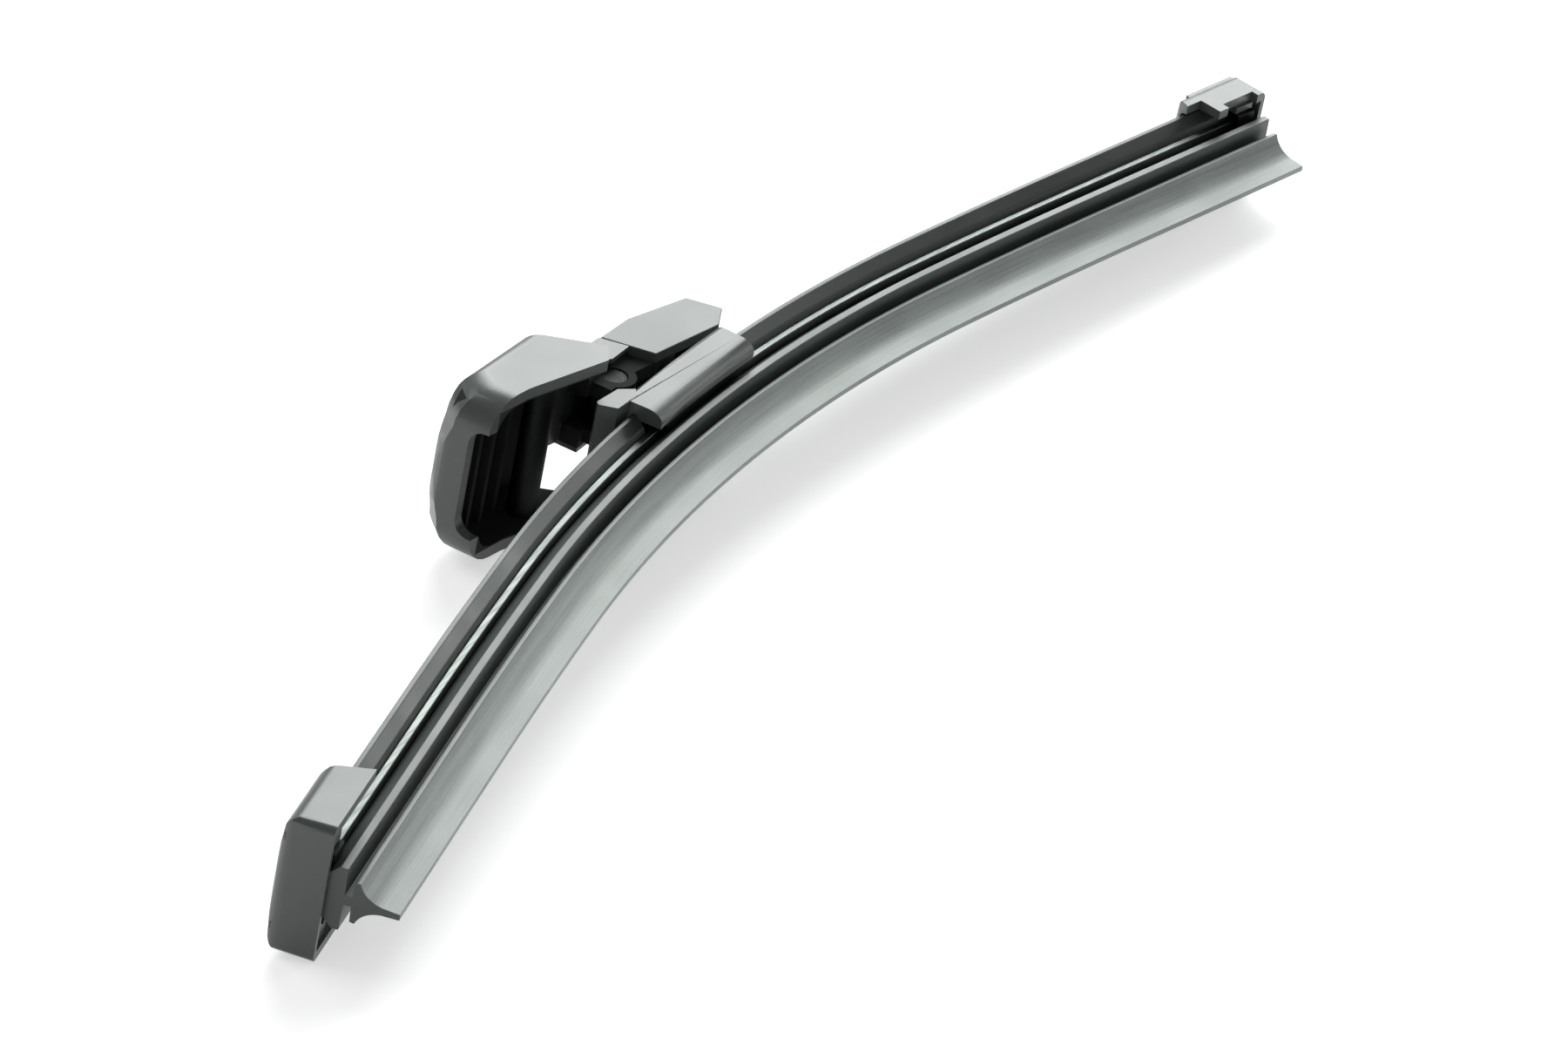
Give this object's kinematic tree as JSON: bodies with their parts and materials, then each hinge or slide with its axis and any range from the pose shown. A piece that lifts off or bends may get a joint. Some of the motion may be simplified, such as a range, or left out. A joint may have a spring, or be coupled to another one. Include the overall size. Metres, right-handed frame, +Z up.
{
  "type": "wiper blade",
  "caption": "Bowed flat wiper blade with rubber lip, spring rails, end caps and a hinged hood-shaped arm adapter, lying on its side.",
  "frame": {"origin": "middle of the cross pin in the arm hood, where the wiper arm takes hold", "axes": "+X along the blade from the hood's nose towards the tongue, +Y away from the window glass, +Z up across the blade, which lies on its side on level ground"},
  "size_m": [0.2811, 0.0567, 0.0294],
  "materials": {
    "rubber": "matt black rubber with a coated lip",
    "soft_cover": "satin black elastomer",
    "black_plastic": "fine satin black moulding",
    "spring_steel": "rolled spring steel strip",
    "plated_steel": "zinc plated steel"
  },
  "bodies": {
    "blade": {"wiper_rubber": "rubber", "upper_spring_rail": "spring_steel", "lower_spring_rail": "spring_steel", "near_cover_strip": "soft_cover", "far_cover_strip": "soft_cover", "near_end_cap": "black_plastic", "far_end_cap": "black_plastic", "near_rail_clip": "plated_steel", "far_rail_clip": "plated_steel", "connector_clamp": "plated_steel", "connector_cover": "black_plastic", "pivot_pin": "plated_steel"},
    "adapter": {"arm_hood": "black_plastic", "adapter_tongue": "black_plastic", "arm_pin": "plated_steel"}
  },
  "joints": [
    {"name": "adapter_tilt", "type": "hinge", "parent": "blade", "child": "adapter", "pos_m": [0.0169, -0.00295, -0.00054], "axis": [0.009, -0.1304, 0.9914], "range_deg": [-3, 15]}
  ]
}
